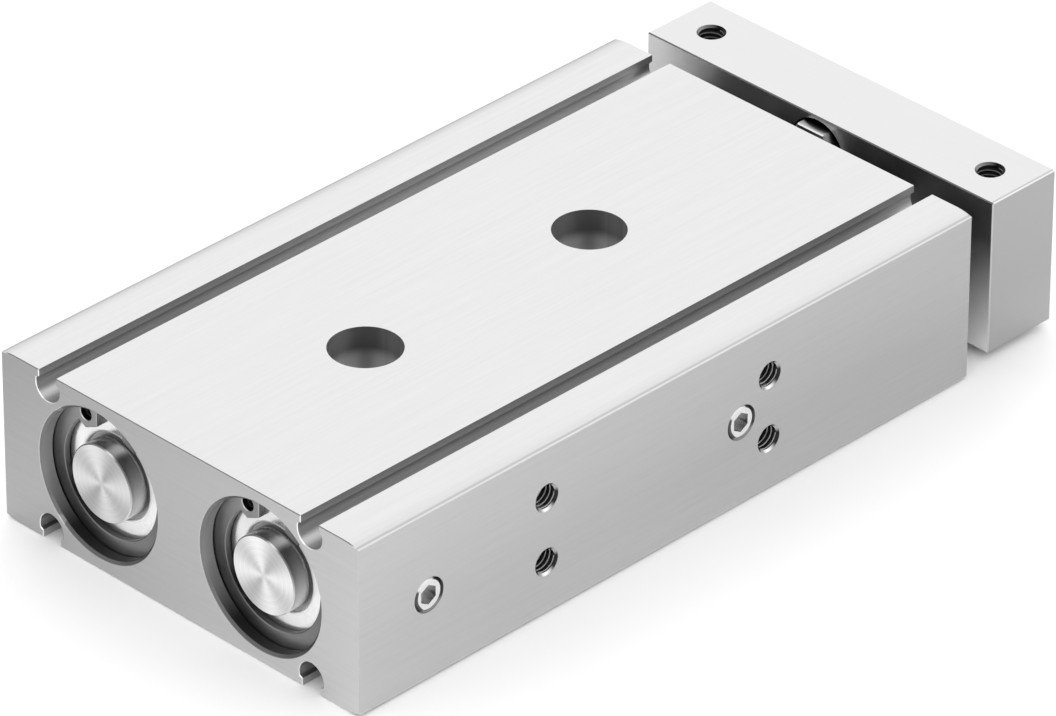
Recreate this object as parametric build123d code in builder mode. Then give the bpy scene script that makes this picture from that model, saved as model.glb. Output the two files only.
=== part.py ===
"""Flat twin-rod pneumatic cylinder with a guided front plate.

Two pistons run side by side in one extruded housing and push the same front
plate. All lengths are in millimetres. The origin is the centre of the
housing's bottom mounting face, +X is the direction the rods extend, +Y is to
the left when looking along +X, and +Z is up.

Unless a comment says otherwise, positions along X are distances from the
housing's rear face. Tapped holes and screw threads are drawn as plain
cylinders at their nominal thread diameter.
"""

import math
import os

from build123d import *

os.makedirs("parts", exist_ok=True)

# Fits and edge treatment
static_gap = 0.02
running_gap = 0.03
thread_gap = 0.05
edge_break = 0.2

# Housing: an extruded block with two sensor slots above and two below
housing_length = 110.0
housing_width = 64.0
housing_height = 25.0
rail_drop = 0.42
rail_round_run = 2.6
rail_edge_break = 0.12
slot_offset = 23.5
slot_mouth = 3.2
slot_lip = 1.05
slot_shoulder_drop = 0.25
slot_radius = 2.15
slot_centre_depth = 1.9

# The two bores, with a wider seat at each end for the end pieces
bore_spacing = 29.2
bore_diameter = 20.0
seat_diameter = 21.0
mouth_chamfer = 0.4
rear_seat_depth = 14.0

# Retaining rings and the grooves they snap into
ring_seat_depth = 3.1
ring_thickness = 1.0
ring_groove_width = 1.15
ring_groove_diameter = 22.2
ring_inner_diameter = 16.8
ring_gap = 4.6
ring_eye_diameter = 2.0
ring_eye_offset = 4.25
ring_eye_height = 7.9
ring_edge_break = 0.1
ring_lug_depth = 6.7
ring_lug_corner = (4.4, 5.7)
ring_lug_root = (5.9, 6.7)

# Travel, with the room left behind the pistons at rest
stroke = 40.0
end_clearance = 0.05
rest_clearance = 0.3

# Mounting holes shared by the top, the bottom and both sides
hole_positions = (32.5, 72.5)
bolt_hole_diameter = 5.5
counterbore_diameter = 9.85
counterbore_depth = 6.5
side_thread_diameter = 4.0
side_thread_depth = 6.0
side_thread_spacing = 9.5

# Air ports, each just behind the end of a seat: plugged on the right side, open on the left
port_inset = 2.0
port_thread_diameter = 5.0
port_thread_depth = 5.5
passage_diameter = 2.5

# Port plugs
plug_recess = 0.1
plug_length = 4.5
plug_face_diameter = 4.1
plug_face_chamfer = 0.45
plug_socket_width = 2.5
plug_socket_depth = 2.2

# Rear end caps
cap_boss_diameter = 10.9
cap_boss_recess = 0.6
cap_boss_chamfer = 0.15
cap_foot_groove_width = 0.5
cap_foot_groove_depth = 0.5
cap_foot_lip_radius = 0.4
cap_neck_diameter = 17.0
cap_neck_length = 2.8
cap_flange_thickness = 1.0
cap_notch_width = 3.0

# Rings of rubber round the end caps and the rod covers
o_ring_groove_width = 2.0
o_ring_width = 1.7
o_ring_groove_depth = 1.4
cap_o_ring_position = 6.7
cover_o_ring_inset = 8.4

# Rubber end stops
bumper_thickness = 1.3
bumper_recess = 1.0
cap_bumper_diameter = 13.9
cover_bumper_outer = 15.2
cover_bumper_inner = 11.2

# Pistons, with the places of their grooves measured from the piston's rear face
piston_length = 11.25
piston_clearance = 0.15
piston_seal_inset = 2.4
piston_seal_width = 3.0
piston_seal_floor = 14.8
magnet_inset = 6.8
magnet_width = 2.6
magnet_floor = 15.6
magnet_recess = 0.15
piston_counterbore_diameter = 9.2
piston_counterbore_depth = 1.6

# Rods
rod_diameter = 10.0
spigot_diameter = 6.0
spigot_head_diameter = 8.4
spigot_head_height = 1.2
rod_end_chamfer = 0.5
rod_thread_depth = 12.0

# Rod covers, which guide the rods, with the rod seals in front
cover_nose_diameter = 16.0
cover_nose_length = 3.2
seal_pocket_diameter = 15.2
seal_pocket_depth = 4.0
grease_groove_length = 12.0
grease_groove_diameter = 10.6
retainer_thickness = 1.5
retainer_inner_diameter = 11.0

# Front plate
plate_gap = 5.1
plate_thickness = 12.0
plate_width = 62.0
plate_height = 22.8
plate_edge_break = 0.15
plate_thread_diameter = 4.0
plate_thread_spacing = 50.0
plate_thread_depth = 7.0
plate_front_thread_depth = 8.0
rod_socket_depth = 4.0

# Screws that hold the plate to the rods
screw_diameter = 5.0
screw_length = 12.0
screw_clearance_diameter = 5.5
screw_head_diameter = 8.5
screw_head_height = 5.0
screw_head_recess = 0.6
screw_counterbore_diameter = 9.2
screw_socket_width = 4.0
screw_socket_depth = 2.6

# Stop screw with its lock nut in a round pocket of the plate
stop_height = 18.55
stop_diameter = 5.0
stop_length = 11.6
stop_chamfer = 0.5
stop_socket_width = 2.5
stop_socket_depth = 3.0
stop_bumper_diameter = 4.6
stop_bumper_length = 1.6
stop_stem_diameter = 2.4
stop_stem_length = 2.4
nut_width = 8.0
nut_thickness = 4.0
nut_protrusion = 1.4
nut_pocket_diameter = 9.7
nut_edge_break = 0.15

# Values that follow from the sizes above, in order from the rear to the front
rear_x = -housing_length / 2
axis_z = housing_height / 2
side_y = housing_width / 2
sides = {"left": bore_spacing / 2, "right": -bore_spacing / 2}
bore_radius = bore_diameter / 2
seat_radius = seat_diameter / 2
fitted_radius = seat_radius - static_gap
rod_radius = rod_diameter / 2
ring_groove_start = ring_seat_depth - ring_groove_width
cap_flange_start = rear_seat_depth - cap_flange_thickness
cap_neck_start = cap_flange_start - cap_neck_length
bumper_height = bumper_thickness - bumper_recess
piston_rear = rear_seat_depth + bumper_height + rest_clearance
piston_front = piston_rear + piston_length
piston_seal_start = piston_rear + piston_seal_inset
magnet_start = piston_rear + magnet_inset
cover_nose_start = piston_front + stroke + end_clearance + bumper_height
front_seat_start = cover_nose_start + cover_nose_length
cover_front = housing_length - ring_seat_depth - retainer_thickness
cover_o_ring_position = cover_front - cover_o_ring_inset
grease_groove_start = (front_seat_start + cover_front - grease_groove_length) / 2
grease_groove_end = grease_groove_start + grease_groove_length
port_positions = (rear_seat_depth - port_inset, front_seat_start - port_inset)
plate_rear = housing_length + plate_gap
plate_front = plate_rear + plate_thickness
rod_front = plate_rear + rod_socket_depth
screw_seat = plate_front - screw_head_recess - screw_head_height
nut_rear = plate_rear - nut_protrusion
nut_front = nut_rear + nut_thickness
stop_rear = housing_length + stop_bumper_length


def hexagon_radius(width):
    """Corner radius of a regular hexagon from its width across flats."""
    return width / math.sqrt(3)


def cross_plane(x, y=0.0, z=axis_z):
    """Plane square to X: its own x runs along +Y and its own y along +Z."""
    return Plane(origin=(rear_x + x, y, z), x_dir=(0, 1, 0), z_dir=(1, 0, 0))


def turning_plane(y, z=axis_z):
    """Plane through an axis along X: own x is the position, own y the radius."""
    return Plane(origin=(rear_x, y, z), x_dir=(1, 0, 0), z_dir=(0, -1, 0))


def turning_axis(y, z=axis_z):
    """Axis along X at the given distance to the side and height."""
    return Axis((rear_x, y, z), (1, 0, 0))


def side_plane(x, z, sign):
    """Plane on the left (+1) or right (-1) side face, its normal pointing outward."""
    return Plane(origin=(rear_x + x, sign * side_y, z), x_dir=(1, 0, 0), z_dir=(0, sign, 0))


def save(builder, label):
    """Label a finished part and write its STEP file."""
    builder.part.label = label
    export_step(builder.part, f"parts/{label}.step")


# Slot section, drawn with its mouth upward and the face it opens in at y = 0
shoulder_depth = slot_lip + slot_shoulder_drop
shoulder_half = math.sqrt(slot_radius**2 - (slot_centre_depth - shoulder_depth) ** 2)
with BuildSketch() as slot_section:
    with BuildLine():
        Polyline(
            (-shoulder_half, -shoulder_depth),
            (-slot_mouth / 2, -slot_lip),
            (-slot_mouth / 2, 1),
            (slot_mouth / 2, 1),
            (slot_mouth / 2, -slot_lip),
            (shoulder_half, -shoulder_depth),
        )
        ThreePointArc(
            (shoulder_half, -shoulder_depth),
            (0, -slot_centre_depth - slot_radius),
            (-shoulder_half, -shoulder_depth),
        )
    make_face()

# Housing
with BuildPart() as housing:
    with BuildSketch(cross_plane(0)) as outline:
        round_start = side_y - rail_round_run
        round_end = axis_z - rail_drop
        with BuildLine():
            Line((0, axis_z), (round_start, axis_z))
            TangentArc((round_start, axis_z), (side_y, round_end), tangent=(1, 0))
            Line((side_y, round_end), (side_y, 0))
            mirror(about=Plane.YZ)
            mirror(about=Plane.XZ)
        make_face()
        side_corners = outline.vertices().filter_by(lambda corner: abs(corner.Y) > side_y - edge_break)
        chamfer(side_corners, rail_edge_break)
        for across in (-slot_offset, slot_offset):
            with Locations(Location((across, axis_z))):
                add(slot_section.sketch, mode=Mode.SUBTRACT)
            with Locations(Location((across, -axis_z), 180)):
                add(slot_section.sketch, mode=Mode.SUBTRACT)
    extrude(amount=housing_length)
    end_faces = housing.faces().filter_by(Axis.X)
    chamfer(end_faces.edges(), edge_break / 2)

    # Stepped bores, the same at both ends apart from the depth of the seats
    for bore_y in sides.values():
        with BuildSketch(turning_plane(bore_y)):
            with BuildLine():
                Polyline(
                    (0, 0),
                    (0, seat_radius + mouth_chamfer),
                    (mouth_chamfer, seat_radius),
                    (ring_groove_start, seat_radius),
                    (ring_groove_start, ring_groove_diameter / 2),
                    (ring_seat_depth, ring_groove_diameter / 2),
                    (ring_seat_depth, seat_radius),
                    (rear_seat_depth, seat_radius),
                    (rear_seat_depth, bore_radius),
                    (front_seat_start, bore_radius),
                    (front_seat_start, seat_radius),
                    (housing_length - ring_seat_depth, seat_radius),
                    (housing_length - ring_seat_depth, ring_groove_diameter / 2),
                    (housing_length - ring_groove_start, ring_groove_diameter / 2),
                    (housing_length - ring_groove_start, seat_radius),
                    (housing_length - mouth_chamfer, seat_radius),
                    (housing_length, seat_radius + mouth_chamfer),
                    (housing_length, 0),
                    close=True,
                )
            make_face()
        revolve(axis=turning_axis(bore_y), mode=Mode.SUBTRACT)

    # Bolt holes from top to bottom, counterbored from both sides
    hole_points = [(rear_x + x, 0) for x in hole_positions]
    with BuildSketch(Plane.XY):
        with Locations(*hole_points):
            Circle(bolt_hole_diameter / 2)
    extrude(amount=housing_height, mode=Mode.SUBTRACT)
    with BuildSketch(Plane.XY, Plane.XY.offset(housing_height - counterbore_depth)):
        with Locations(*hole_points):
            Circle(counterbore_diameter / 2)
    extrude(amount=counterbore_depth, mode=Mode.SUBTRACT)

    # Tapped holes and ports in both side faces
    thread_rows = (-side_thread_spacing / 2, side_thread_spacing / 2)
    thread_points = [(x, row) for x in hole_positions for row in thread_rows]
    port_points = [(x, 0) for x in port_positions]
    for sign in (1, -1):
        with BuildSketch(side_plane(0, axis_z, sign)):
            with Locations(*thread_points):
                Circle(side_thread_diameter / 2)
        extrude(amount=-side_thread_depth, mode=Mode.SUBTRACT)
        with BuildSketch(side_plane(0, axis_z, sign)):
            with Locations(*port_points):
                Circle(port_thread_diameter / 2)
        extrude(amount=-port_thread_depth, mode=Mode.SUBTRACT)

    # Air passages straight across both bores, joining each pair of ports
    with BuildSketch(side_plane(0, axis_z, 1)):
        with Locations(*port_points):
            Circle(passage_diameter / 2)
    extrude(amount=-housing_width, mode=Mode.SUBTRACT)
save(housing, "housing")

# Port plugs in the right side face
with BuildPart() as port_plugs:
    for x in port_positions:
        plug_axis = Axis((rear_x + x, -side_y, axis_z), (0, 1, 0))
        plug_radius = port_thread_diameter / 2 - static_gap
        plug_plane = Plane(plug_axis.position, x_dir=(0, 1, 0), z_dir=(1, 0, 0))
        with BuildSketch(plug_plane):
            with BuildLine():
                Polyline(
                    (plug_recess, 0),
                    (plug_recess, plug_face_diameter / 2),
                    (plug_recess + plug_face_chamfer, plug_radius),
                    (plug_recess + plug_length - plug_face_chamfer, plug_radius),
                    (plug_recess + plug_length, plug_face_diameter / 2),
                    (plug_recess + plug_length, 0),
                    close=True,
                )
            make_face()
        revolve(axis=plug_axis)
        with BuildSketch(side_plane(x, axis_z, -1).offset(-plug_recess)):
            RegularPolygon(hexagon_radius(plug_socket_width), 6, rotation=30)
        extrude(amount=-plug_socket_depth, mode=Mode.SUBTRACT)
save(port_plugs, "port_plugs")

for side, bore_y in sides.items():
    plane = turning_plane(bore_y)
    axis = turning_axis(bore_y)

    # Rear end cap with its round boss and the notched flange that lets air past
    with BuildPart() as end_cap:
        boss_radius = cap_boss_diameter / 2
        foot_radius = boss_radius + cap_foot_groove_width
        floor_radius = seat_radius - o_ring_groove_depth
        with BuildSketch(plane):
            with BuildLine():
                Polyline(
                    (cap_boss_recess, 0),
                    (cap_boss_recess, boss_radius - cap_boss_chamfer),
                    (cap_boss_recess + cap_boss_chamfer, boss_radius),
                    (ring_seat_depth + cap_foot_groove_depth, boss_radius),
                    (ring_seat_depth + cap_foot_groove_depth, foot_radius),
                    (ring_seat_depth, foot_radius),
                    (ring_seat_depth, fitted_radius),
                    (cap_o_ring_position - o_ring_groove_width / 2, fitted_radius),
                    (cap_o_ring_position - o_ring_groove_width / 2, floor_radius),
                    (cap_o_ring_position + o_ring_groove_width / 2, floor_radius),
                    (cap_o_ring_position + o_ring_groove_width / 2, fitted_radius),
                    (cap_neck_start, fitted_radius),
                    (cap_neck_start, cap_neck_diameter / 2),
                    (cap_flange_start, cap_neck_diameter / 2),
                    (cap_flange_start, fitted_radius),
                    (rear_seat_depth, fitted_radius),
                    (rear_seat_depth, cap_bumper_diameter / 2 + static_gap),
                    (rear_seat_depth - bumper_recess, cap_bumper_diameter / 2 + static_gap),
                    (rear_seat_depth - bumper_recess, 0),
                    close=True,
                )
            make_face()
        revolve(axis=axis)
        turned_rims = end_cap.edges().filter_by(GeomType.CIRCLE)
        foot_rims = turned_rims.filter_by(lambda rim: abs(rim.radius - foot_radius) < 0.001)
        fillet(foot_rims.sort_by(Axis.X)[0], cap_foot_lip_radius)
        with BuildSketch(cross_plane(cap_flange_start, bore_y)):
            Rectangle(seat_diameter, cap_notch_width)
            Rectangle(cap_notch_width, seat_diameter)
            Circle(cap_neck_diameter / 2, mode=Mode.SUBTRACT)
        extrude(amount=rear_seat_depth - cap_flange_start, mode=Mode.SUBTRACT)
    save(end_cap, f"end_cap_{side}")

    with BuildPart() as end_bumper:
        with BuildSketch(cross_plane(rear_seat_depth - bumper_recess, bore_y)):
            Circle(cap_bumper_diameter / 2)
        extrude(amount=bumper_thickness)
        chamfer(end_bumper.edges().filter_by(GeomType.CIRCLE).sort_by(Axis.X)[-1], edge_break)
    save(end_bumper, f"end_bumper_{side}")

    # Retaining rings: one behind the end cap, one in front of the rod cover
    for place, ring_start in (
        ("rear", ring_seat_depth - ring_thickness),
        ("front", housing_length - ring_seat_depth),
    ):
        with BuildPart() as retaining_ring:
            with BuildSketch(cross_plane(ring_start, bore_y)):
                Circle(ring_groove_diameter / 2 - thread_gap)
                Circle(ring_inner_diameter / 2, mode=Mode.SUBTRACT)
                with BuildLine():
                    Polyline(
                        (0, ring_lug_depth),
                        (ring_gap / 2, ring_lug_depth),
                        ring_lug_corner,
                        ring_lug_root,
                        (ring_lug_root[0], ring_inner_diameter / 2),
                        (0, ring_inner_diameter / 2 + 1),
                    )
                    mirror(about=Plane.YZ)
                make_face()
                with Locations((0, ring_groove_diameter / 2)):
                    Rectangle(ring_gap, ring_groove_diameter, mode=Mode.SUBTRACT)
                with Locations((-ring_eye_offset, ring_eye_height), (ring_eye_offset, ring_eye_height)):
                    Circle(ring_eye_diameter / 2, mode=Mode.SUBTRACT)
            extrude(amount=ring_thickness)
            chamfer(retaining_ring.faces().filter_by(Axis.X).edges(), ring_edge_break)
        save(retaining_ring, f"{place}_retaining_ring_{side}")

    # Rubber rings in the grooves of the end cap and the rod cover
    for owner, position in (("end_cap", cap_o_ring_position), ("rod_cover", cover_o_ring_position)):
        with BuildPart() as o_ring:
            o_ring_height = o_ring_groove_depth - static_gap
            with BuildSketch(plane):
                with Locations((position, seat_radius - o_ring_groove_depth / 2)):
                    RectangleRounded(o_ring_width, o_ring_height, o_ring_height * 0.45)
            revolve(axis=axis)
        save(o_ring, f"{owner}_o_ring_{side}")

    # Rod cover: a long guide bush with a nose, a grease groove and a seal pocket
    with BuildPart() as rod_cover:
        guide_radius = rod_radius + running_gap
        floor_radius = seat_radius - o_ring_groove_depth
        with BuildSketch(plane):
            with BuildLine():
                Polyline(
                    (cover_nose_start, cover_bumper_outer / 2 + static_gap),
                    (cover_nose_start, cover_nose_diameter / 2),
                    (front_seat_start, cover_nose_diameter / 2),
                    (front_seat_start, fitted_radius),
                    (cover_o_ring_position - o_ring_groove_width / 2, fitted_radius),
                    (cover_o_ring_position - o_ring_groove_width / 2, floor_radius),
                    (cover_o_ring_position + o_ring_groove_width / 2, floor_radius),
                    (cover_o_ring_position + o_ring_groove_width / 2, fitted_radius),
                    (cover_front, fitted_radius),
                    (cover_front, seal_pocket_diameter / 2),
                    (cover_front - seal_pocket_depth, seal_pocket_diameter / 2),
                    (cover_front - seal_pocket_depth, guide_radius),
                    (grease_groove_end, guide_radius),
                    (grease_groove_end, grease_groove_diameter / 2),
                    (grease_groove_start, grease_groove_diameter / 2),
                    (grease_groove_start, guide_radius),
                    (cover_nose_start + bumper_recess, guide_radius),
                    (cover_nose_start + bumper_recess, cover_bumper_outer / 2 + static_gap),
                    close=True,
                )
            make_face()
        revolve(axis=axis)
    save(rod_cover, f"rod_cover_{side}")

    with BuildPart() as cover_bumper:
        with BuildSketch(cross_plane(cover_nose_start + bumper_recess - bumper_thickness, bore_y)):
            Circle(cover_bumper_outer / 2)
            Circle(cover_bumper_inner / 2, mode=Mode.SUBTRACT)
        extrude(amount=bumper_thickness)
    save(cover_bumper, f"cover_bumper_{side}")

    # Rod seal: a lipped ring, open towards the pressure side
    with BuildPart() as rod_seal:
        seal_inner = rod_radius + running_gap
        seal_outer = seal_pocket_diameter / 2 - static_gap
        seal_middle = (seal_inner + seal_outer) / 2
        seal_rear = cover_front - seal_pocket_depth
        with BuildSketch(plane):
            with BuildLine():
                Polyline(
                    (seal_rear, seal_inner + 0.3),
                    (seal_rear + 0.6, seal_inner),
                    (cover_front - 0.1, seal_inner),
                    (cover_front - 0.1, seal_outer),
                    (seal_rear + 0.6, seal_outer),
                    (seal_rear, seal_outer - 0.3),
                    (seal_rear + 0.2, seal_outer - 0.7),
                    (seal_rear + 1.8, seal_middle),
                    (seal_rear + 0.2, seal_inner + 0.7),
                    close=True,
                )
            make_face()
        revolve(axis=axis)
    save(rod_seal, f"rod_seal_{side}")

    with BuildPart() as seal_retainer:
        with BuildSketch(cross_plane(cover_front, bore_y)):
            Circle(fitted_radius)
            Circle(retainer_inner_diameter / 2, mode=Mode.SUBTRACT)
        extrude(amount=retainer_thickness)
        chamfer(seal_retainer.edges().filter_by(GeomType.CIRCLE).sort_by(Axis.X)[-2:], edge_break)
    save(seal_retainer, f"seal_retainer_{side}")

    # Piston with grooves for its seal and its position magnet
    with BuildPart() as piston:
        piston_radius = bore_radius - piston_clearance
        with BuildSketch(plane):
            with BuildLine():
                Polyline(
                    (piston_rear, piston_counterbore_diameter / 2),
                    (piston_rear, piston_radius - 2 * edge_break),
                    (piston_rear + 2 * edge_break, piston_radius),
                    (piston_seal_start, piston_radius),
                    (piston_seal_start, piston_seal_floor / 2),
                    (piston_seal_start + piston_seal_width, piston_seal_floor / 2),
                    (piston_seal_start + piston_seal_width, piston_radius),
                    (magnet_start, piston_radius),
                    (magnet_start, magnet_floor / 2),
                    (magnet_start + magnet_width, magnet_floor / 2),
                    (magnet_start + magnet_width, piston_radius),
                    (piston_front - 2 * edge_break, piston_radius),
                    (piston_front, piston_radius - 2 * edge_break),
                    (piston_front, spigot_diameter / 2 + static_gap),
                    (piston_rear + piston_counterbore_depth, spigot_diameter / 2 + static_gap),
                    (piston_rear + piston_counterbore_depth, piston_counterbore_diameter / 2),
                    close=True,
                )
            make_face()
        revolve(axis=axis)
    save(piston, f"piston_{side}")

    with BuildPart() as piston_seal:
        seal_height = bore_radius - running_gap - piston_seal_floor / 2 - static_gap
        seal_middle = piston_seal_start + piston_seal_width / 2
        with BuildSketch(plane):
            with Locations((seal_middle, bore_radius - running_gap - seal_height / 2)):
                RectangleRounded(piston_seal_width - 2 * static_gap, seal_height, 0.5)
        revolve(axis=axis)
    save(piston_seal, f"piston_seal_{side}")

    with BuildPart() as magnet:
        with BuildSketch(cross_plane(magnet_start + static_gap, bore_y)):
            Circle(bore_radius - piston_clearance - magnet_recess)
            Circle(magnet_floor / 2 + static_gap, mode=Mode.SUBTRACT)
        extrude(amount=magnet_width - 2 * static_gap)
    save(magnet, f"magnet_{side}")

    # Rod: peened over behind the piston, tapped in front for the plate screw
    with BuildPart() as piston_rod:
        head_front = piston_rear + piston_counterbore_depth
        with BuildSketch(plane):
            with BuildLine():
                Polyline(
                    (head_front - spigot_head_height, 0),
                    (head_front - spigot_head_height, spigot_head_diameter / 2 - 2 * edge_break),
                    (head_front - spigot_head_height + 2 * edge_break, spigot_head_diameter / 2),
                    (head_front, spigot_head_diameter / 2),
                    (head_front, spigot_diameter / 2),
                    (piston_front, spigot_diameter / 2),
                    (piston_front, rod_radius),
                    (rod_front - rod_end_chamfer, rod_radius),
                    (rod_front, rod_radius - rod_end_chamfer),
                    (rod_front, screw_diameter / 2),
                    (rod_front - rod_thread_depth, screw_diameter / 2),
                    (rod_front - rod_thread_depth, 0),
                    close=True,
                )
            make_face()
        revolve(axis=axis)
    save(piston_rod, f"piston_rod_{side}")

# Front plate
with BuildPart() as front_plate:
    with BuildSketch(cross_plane(plate_rear)):
        Rectangle(plate_width, plate_height)
    extrude(amount=plate_thickness)
    chamfer(front_plate.edges(), plate_edge_break)
    rod_points = [(y, 0) for y in sides.values()]
    stop_point = (0, stop_height - axis_z)
    with BuildSketch(cross_plane(plate_rear)):
        with Locations(*rod_points):
            Circle(rod_radius + static_gap)
    extrude(amount=rod_socket_depth, mode=Mode.SUBTRACT)
    with BuildSketch(cross_plane(plate_rear)):
        with Locations(*rod_points):
            Circle(screw_clearance_diameter / 2)
        with Locations(stop_point):
            Circle(stop_diameter / 2)
    extrude(amount=plate_thickness, mode=Mode.SUBTRACT)
    with BuildSketch(cross_plane(screw_seat)):
        with Locations(*rod_points):
            Circle(screw_counterbore_diameter / 2)
    extrude(amount=plate_front - screw_seat, mode=Mode.SUBTRACT)
    with BuildSketch(cross_plane(plate_rear)):
        with Locations(stop_point):
            Circle(nut_pocket_diameter / 2)
    extrude(amount=nut_front - plate_rear, mode=Mode.SUBTRACT)
    thread_across = [(-plate_thread_spacing / 2, 0), (plate_thread_spacing / 2, 0)]
    with BuildSketch(cross_plane(plate_front - plate_front_thread_depth)):
        with Locations(*thread_across):
            Circle(plate_thread_diameter / 2)
    extrude(amount=plate_front_thread_depth, mode=Mode.SUBTRACT)
    plate_middle = rear_x + plate_rear + plate_thickness / 2
    thread_floor = axis_z + plate_height / 2 - plate_thread_depth
    thread_ceiling = axis_z - plate_height / 2
    with BuildSketch(Plane.XY.offset(thread_floor), Plane.XY.offset(thread_ceiling)):
        with Locations(*[(plate_middle, y) for y, _ in thread_across]):
            Circle(plate_thread_diameter / 2)
    extrude(amount=plate_thread_depth, mode=Mode.SUBTRACT)
save(front_plate, "front_plate")

# Socket-head screws that hold the plate to the rods
with BuildPart() as rod_screws:
    for bore_y in sides.values():
        with BuildSketch(turning_plane(bore_y)):
            shank_radius = screw_diameter / 2 - thread_gap
            head_radius = screw_head_diameter / 2
            head_front = screw_seat + screw_head_height
            with BuildLine():
                Polyline(
                    (screw_seat - screw_length, 0),
                    (screw_seat - screw_length, shank_radius - rod_end_chamfer),
                    (screw_seat - screw_length + rod_end_chamfer, shank_radius),
                    (screw_seat, shank_radius),
                    (screw_seat, head_radius),
                    (head_front - 2 * edge_break, head_radius),
                    (head_front, head_radius - 2 * edge_break),
                    (head_front, 0),
                    close=True,
                )
            make_face()
        revolve(axis=turning_axis(bore_y))
        with BuildSketch(cross_plane(head_front, bore_y)):
            RegularPolygon(hexagon_radius(screw_socket_width), 6)
        extrude(amount=-screw_socket_depth, mode=Mode.SUBTRACT)
save(rod_screws, "rod_screws")

# Lock nut, one flat upward, with the rims of both faces lightly broken
with BuildPart() as stop_nut:
    with BuildSketch(cross_plane(nut_rear, 0, stop_height)):
        RegularPolygon(hexagon_radius(nut_width), 6)
        Circle(stop_diameter / 2, mode=Mode.SUBTRACT)
    extrude(amount=nut_thickness)
    nut_rims = stop_nut.edges().filter_by(GeomType.LINE).filter_by(Plane.YZ)
    chamfer(nut_rims, nut_edge_break)
save(stop_nut, "stop_nut")

# Stop screw: hexagon socket in front, a bore for the rubber bumper behind
with BuildPart() as stop_screw:
    stop_radius = stop_diameter / 2 - thread_gap
    stem_bore_radius = stop_stem_diameter / 2 + thread_gap
    stop_front = stop_rear + stop_length
    with BuildSketch(turning_plane(0, stop_height)):
        with BuildLine():
            Polyline(
                (stop_rear, stem_bore_radius),
                (stop_rear, stop_radius - stop_chamfer / 2),
                (stop_rear + stop_chamfer / 2, stop_radius),
                (stop_front - stop_chamfer, stop_radius),
                (stop_front, stop_radius - stop_chamfer),
                (stop_front, 0),
                (stop_rear + stop_stem_length + end_clearance, 0),
                (stop_rear + stop_stem_length + end_clearance, stem_bore_radius),
                close=True,
            )
        make_face()
    revolve(axis=turning_axis(0, stop_height))
    with BuildSketch(cross_plane(stop_front, 0, stop_height)):
        RegularPolygon(hexagon_radius(stop_socket_width), 6)
    extrude(amount=-stop_socket_depth, mode=Mode.SUBTRACT)
save(stop_screw, "stop_screw")

with BuildPart() as stop_bumper:
    with BuildSketch(turning_plane(0, stop_height)):
        with BuildLine():
            Polyline(
                (housing_length, 0),
                (housing_length, stop_bumper_diameter / 2 - edge_break),
                (housing_length + edge_break, stop_bumper_diameter / 2),
                (stop_rear, stop_bumper_diameter / 2),
                (stop_rear, stop_stem_diameter / 2),
                (stop_rear + stop_stem_length, stop_stem_diameter / 2),
                (stop_rear + stop_stem_length, 0),
                close=True,
            )
        make_face()
    revolve(axis=turning_axis(0, stop_height))
save(stop_bumper, "stop_bumper")
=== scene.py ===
"""Finishes and fine detail of a flat twin-rod pneumatic cylinder.

The solids are loaded as they are, every one gets its own procedural finish, and the
threads that the plain tapped holes and the plain stop screw leave out are modelled here.
Lengths in the fields are millimetres unless they say otherwise. The housing rests on
z = 0, +X is the direction the rods extend and +Y is the left side.
"""

from __future__ import annotations

import logging
import math
from dataclasses import dataclass
from enum import Enum
from functools import reduce

import bpy
from mathutils import Matrix, Vector

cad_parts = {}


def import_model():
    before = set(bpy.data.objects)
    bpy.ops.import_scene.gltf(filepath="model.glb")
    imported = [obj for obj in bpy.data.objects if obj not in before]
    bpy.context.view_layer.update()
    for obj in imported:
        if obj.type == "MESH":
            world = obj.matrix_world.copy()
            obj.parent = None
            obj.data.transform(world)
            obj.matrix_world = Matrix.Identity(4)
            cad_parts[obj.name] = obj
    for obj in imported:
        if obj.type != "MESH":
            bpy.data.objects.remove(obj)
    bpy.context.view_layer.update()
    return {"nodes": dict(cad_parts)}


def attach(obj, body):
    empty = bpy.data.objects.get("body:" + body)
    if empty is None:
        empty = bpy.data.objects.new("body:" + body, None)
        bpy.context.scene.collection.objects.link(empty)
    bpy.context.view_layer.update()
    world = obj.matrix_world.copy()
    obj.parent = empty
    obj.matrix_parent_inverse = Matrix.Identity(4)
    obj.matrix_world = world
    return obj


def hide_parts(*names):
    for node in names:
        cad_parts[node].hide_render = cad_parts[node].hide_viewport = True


MM = 0.001
FULL_TURN = 2.0 * math.pi
SMOOTH_ANGLE = math.radians(35.0)
CORNERS = 64
# Height of the main axes, and how far the bores lie to the side.
AXIS_HEIGHT = 12.5
BORE_OFFSET = 14.6
# Positions along X of the tapped side holes and bolt holes, and of the ports.
HOLE_ROWS = (-22.5, 17.5)
PORT_ROWS = (-43.0, 12.4)
# Place of a retaining ring's eyes, to the side of its axis and above it.
RING_EYE = (4.25, 7.9)
STEEL = (0.36, 0.362, 0.366)
# Attribute with the height of a thread's vertices, 0 at its root and 1 at its crest, and the
# value that stands for its conical mouth.
HEIGHT = "height"
MOUTH = 2.0
Colour = tuple[float, float, float]
Point = tuple[float, float, float]
Pair = tuple[float, float]
Sockets = dict[str | int, object]

log = logging.getLogger("cylinder")


class Bore(Enum):
    """The two bores, by how far their axis lies to the left."""

    LEFT = BORE_OFFSET
    RIGHT = -BORE_OFFSET


class Body(Enum):
    """The bodies that move on their own."""

    HOUSING = "housing"
    PLATE = "plate_and_rods"
    STOP = "stop_screw"


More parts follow.
